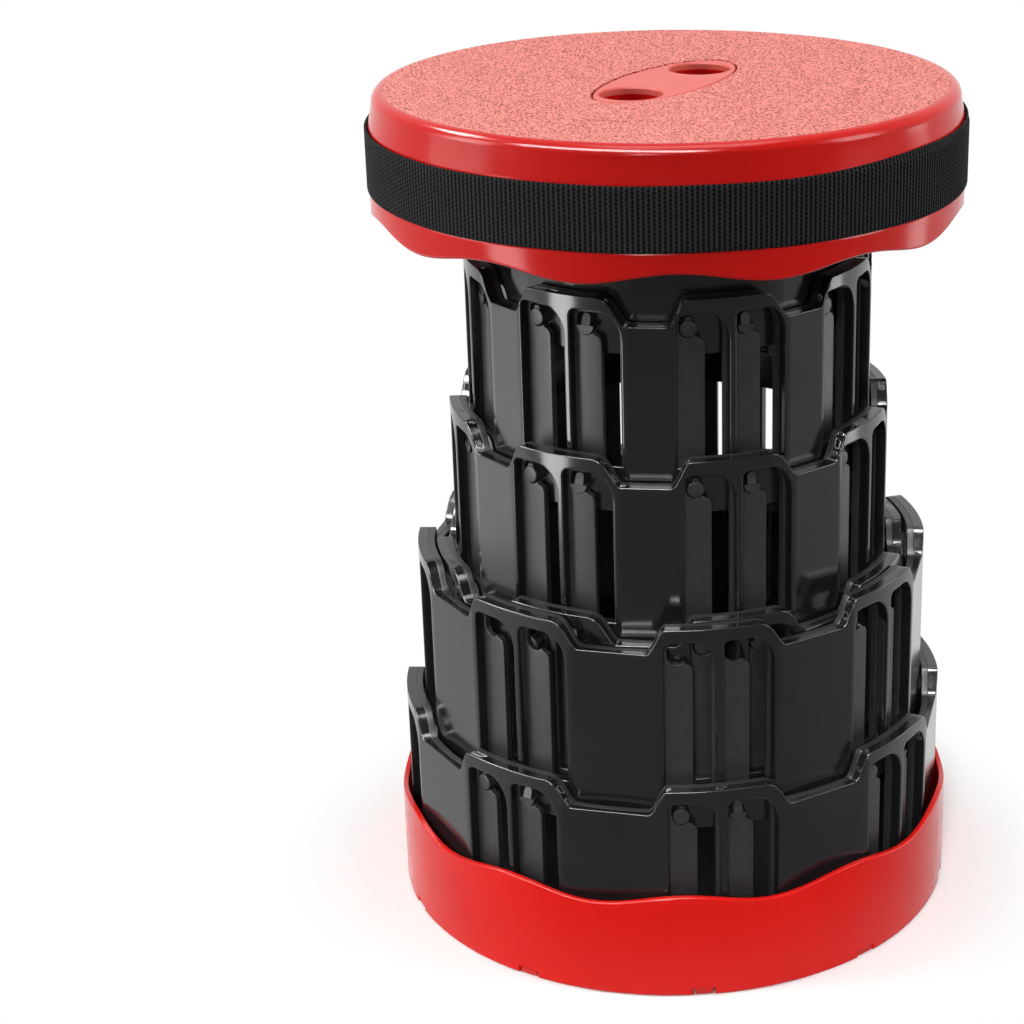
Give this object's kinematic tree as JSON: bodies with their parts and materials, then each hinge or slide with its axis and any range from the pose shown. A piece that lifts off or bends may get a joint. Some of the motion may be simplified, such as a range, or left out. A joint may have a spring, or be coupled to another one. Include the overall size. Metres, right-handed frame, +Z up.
{
  "type": "telescopic stool",
  "caption": "Round stool whose ribbed sleeves slide into one another between a red base cup and a red seat; webbing strap and carry handle.",
  "frame": {"origin": "centre of the underside of the base", "axes": "+Z up along the sleeves' common axis, -Y towards the side seen in the picture"},
  "size_m": [0.2502, 0.2949, 0.361],
  "materials": {
    "red_gloss": "glossy moulded plastic",
    "red_grained": "fine leather grain on top, glossy round the side",
    "black_plastic": "satin moulded plastic",
    "black_webbing": "ribbed polypropylene webbing",
    "pad_rubber": "matte rubber in the colour of the base",
    "bright_steel": "plated"
  },
  "bodies": {
    "base": {"base_cup": "red_gloss", "foot_pad_1": "pad_rubber", "foot_pad_2": "pad_rubber", "foot_pad_3": "pad_rubber", "foot_pad_4": "pad_rubber", "foot_pad_5": "pad_rubber", "foot_pad_6": "pad_rubber", "foot_pad_7": "pad_rubber", "foot_pad_8": "pad_rubber", "foot_pad_9": "pad_rubber", "foot_pad_10": "pad_rubber", "sleeve_1": "black_plastic", "base_screw_1": "bright_steel", "base_screw_2": "bright_steel", "base_screw_3": "bright_steel", "base_screw_4": "bright_steel"},
    "stage_2": {"sleeve_2": "black_plastic"},
    "stage_3": {"sleeve_3": "black_plastic"},
    "stage_4": {"sleeve_4": "black_plastic"},
    "stage_5": {"sleeve_5": "black_plastic"},
    "seat": {"sleeve_6": "black_plastic", "seat_lid": "red_grained", "grip_insert": "red_grained", "seat_strap": "black_webbing", "carry_handle": "black_webbing", "handle_rivet_1": "bright_steel", "handle_rivet_2": "bright_steel", "seat_screw_1": "bright_steel", "seat_screw_2": "bright_steel", "seat_screw_3": "bright_steel", "seat_screw_4": "bright_steel"}
  },
  "joints": [
    {"name": "slide_2", "type": "slide", "parent": "base", "child": "stage_2", "axis": [0, 0, 1], "range_m": [-0.0684, 0]},
    {"name": "slide_3", "type": "slide", "parent": "stage_2", "child": "stage_3", "axis": [0, 0, 1], "range_m": [0, 0.066]},
    {"name": "slide_4", "type": "slide", "parent": "stage_3", "child": "stage_4", "axis": [0, 0, 1], "range_m": [-0.0654, 0]},
    {"name": "slide_5", "type": "slide", "parent": "stage_4", "child": "stage_5", "axis": [0, 0, 1], "range_m": [-0.0646, 0]},
    {"name": "slide_6", "type": "slide", "parent": "stage_5", "child": "seat", "axis": [0, 0, 1], "range_m": [-0.0642, 0]}
  ]
}
